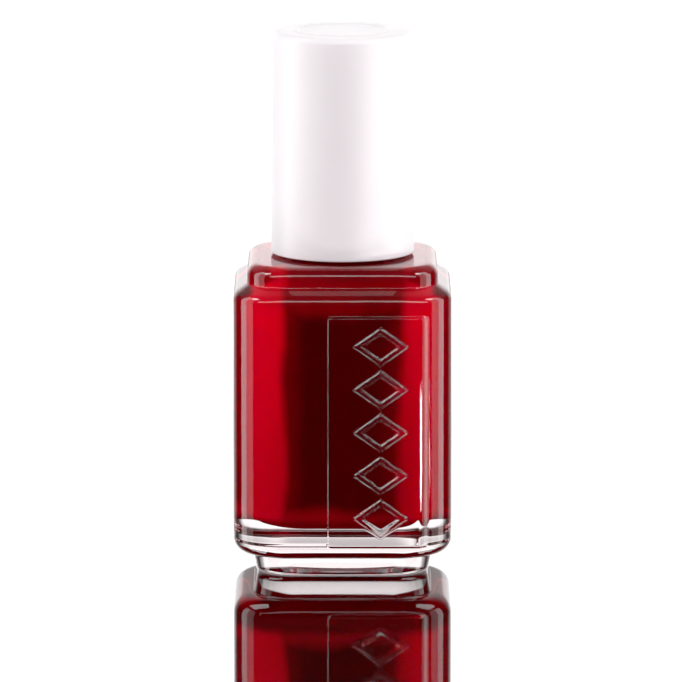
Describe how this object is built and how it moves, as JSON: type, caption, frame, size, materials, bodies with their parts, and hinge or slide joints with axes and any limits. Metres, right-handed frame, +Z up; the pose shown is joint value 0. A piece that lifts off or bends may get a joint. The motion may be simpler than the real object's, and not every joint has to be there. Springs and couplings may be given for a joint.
{
  "type": "nail polish bottle",
  "caption": "Square-shouldered glass bottle of red lacquer with a tall white screw cap that carries a brush on a stem.",
  "frame": {"origin": "centre of the foot, where the bottle's upright axis meets the surface that it stands on", "axes": "+Z up along the cap's axis; -Y is the front, which carries the embossed panel; +X is to the right as seen from the front"},
  "size_m": [0.0294, 0.03, 0.073],
  "materials": {
    "glass": "clear polished",
    "lacquer": "deep red liquid",
    "label": "matt film",
    "steel": "polished",
    "cap_plastic": "satin white",
    "inner_plastic": "natural",
    "seal": "matt",
    "stem_plastic": "natural",
    "bristle": "fibre wet with lacquer"
  },
  "bodies": {
    "bottle": {"glass_body": "glass", "glass_shoulder": "glass", "lacquer_fill": "lacquer", "foot_label": "label"},
    "seal": {"sealing_ring": "seal"},
    "brush": {"brush_stem": "stem_plastic", "bristle_staple": "steel", "brush_bristles": "bristle"},
    "cap": {"outer_cap": "cap_plastic", "inner_cap": "inner_plastic"},
    "ball_1": {"mixing_ball_1": "steel"},
    "ball_2": {"mixing_ball_2": "steel"}
  },
  "joints": [
    {"name": "cap_lift", "type": "slide", "parent": "bottle", "child": "seal", "axis": [0, 0, 1], "range_m": [0, 0.05]},
    {"name": "cap_rise", "type": "slide", "parent": "seal", "child": "brush", "axis": [0, 0, 1], "range_m": [0, 0.0032]},
    {"name": "cap_turn", "type": "hinge", "parent": "brush", "child": "cap", "pos_m": [0, 0, 0.05], "axis": [0, 0, 1], "range_deg": [0, 540]},
    {"name": "ball_1_travel", "type": "slide", "parent": "bottle", "child": "ball_1", "axis": [0, 0, 1], "range_m": [0, 0.026]},
    {"name": "ball_2_travel", "type": "slide", "parent": "bottle", "child": "ball_2", "axis": [0, 0, 1], "range_m": [0, 0.026]}
  ],
  "couplings": [
    {"joint": "cap_rise", "follows": "cap_turn", "m_per_rad": 0.00033688}
  ]
}
